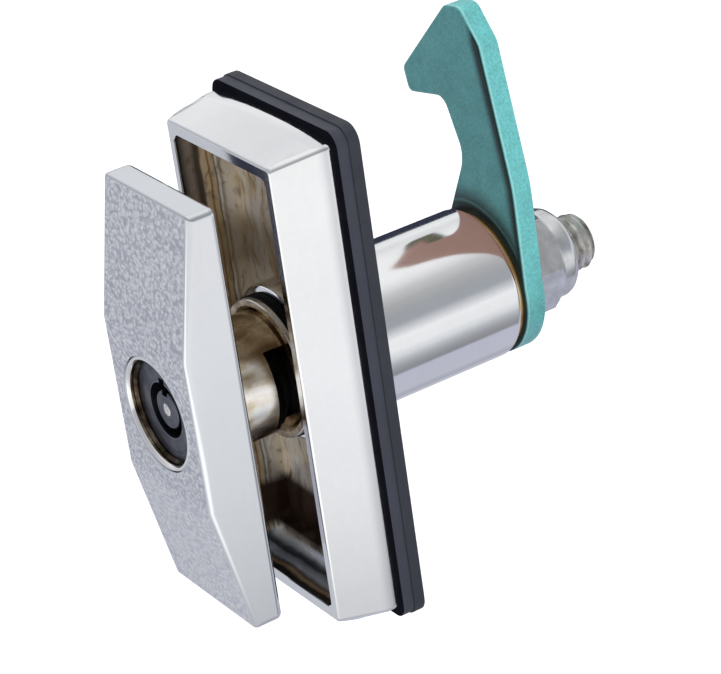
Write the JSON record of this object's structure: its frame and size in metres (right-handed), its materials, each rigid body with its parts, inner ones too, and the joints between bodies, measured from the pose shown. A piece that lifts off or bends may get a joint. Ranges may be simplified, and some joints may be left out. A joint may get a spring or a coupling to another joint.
{
  "type": "pop-out t-handle lock",
  "caption": "Pop-out T-handle lock: pan housing with a round barrel, rubber gasket, sprung handle with a tubular key lock, spindle and hook cam.",
  "frame": {"origin": "on the lock's axis in the plane of the door panel, which is the rear face of the gasket, midway between the two tapped mounting holes", "axes": "+Y along the lock's axis into the door, from the handle to the cam; +Z along the handle, upwards; +X across the handle, with the hook's nose at -X"},
  "size_m": [0.0376, 0.0841, 0.0927],
  "materials": {
    "plated_casting": "bright chrome plate on a zinc casting",
    "gasket_rubber": "moulded rubber, matt",
    "seal_rubber": "smooth black rubber",
    "turned_steel": "fine turned",
    "hard_steel": "ground",
    "stud_steel": "rolled thread, dull zinc",
    "spring_steel": "drawn wire",
    "yellow_zinc": "yellow zinc plate",
    "cam_paint": "teal coat on steel plate",
    "zinc_nut": "bright zinc plate",
    "nylon": "plain nylon",
    "handle_casting": "hammered satin front, polished edges",
    "bezel_chrome": "polished chrome",
    "lock_face": "satin dark chrome",
    "lock_brass": "turned brass",
    "bolt_steel": "blackened"
  },
  "bodies": {
    "housing": {"housing": "plated_casting", "gasket": "gasket_rubber", "seal_ring": "seal_rubber"},
    "spindle": {"spindle": "turned_steel", "drive_pins": "hard_steel", "drive_stud": "stud_steel", "popout_spring": "spring_steel", "stop_washer": "yellow_zinc", "hook_cam": "cam_paint", "lock_nut": "zinc_nut", "nylon_insert": "nylon"},
    "handle": {"t_handle": "handle_casting", "lock_bezel": "bezel_chrome", "lock_shell": "lock_face", "shell_pin": "hard_steel", "pin_block": "lock_brass", "driver_pins": "hard_steel", "driver_springs": "spring_steel", "bolt_spring": "spring_steel"},
    "plug": {"lock_plug": "lock_face", "key_pins": "lock_brass", "drill_pin": "hard_steel", "drive_crank": "hard_steel"},
    "bolt": {"lock_bolt": "bolt_steel"}
  },
  "joints": [
    {"name": "handle_turn", "type": "hinge", "parent": "housing", "child": "spindle", "pos_m": [0, 0, 0], "axis": [0, 1, 0], "range_deg": [0, 180]},
    {"name": "handle_push", "type": "slide", "parent": "spindle", "child": "handle", "axis": [0, 1, 0], "range_m": [0, 0.013], "stiffness_N_per_m": 600, "springref_m": -0.008, "deforming": ["popout_spring"]},
    {"name": "key_turn", "type": "hinge", "parent": "handle", "child": "plug", "pos_m": [0, -0.03, 0], "axis": [0, 1, 0], "range_deg": [0, 90]},
    {"name": "bolt_slide", "type": "slide", "parent": "handle", "child": "bolt", "axis": [1, 0, 0], "range_m": [0, 0.0026], "deforming": ["bolt_spring"]}
  ],
  "couplings": [
    {"joint": "key_turn", "follows": "bolt_slide", "rad_per_m": 604.1}
  ]
}
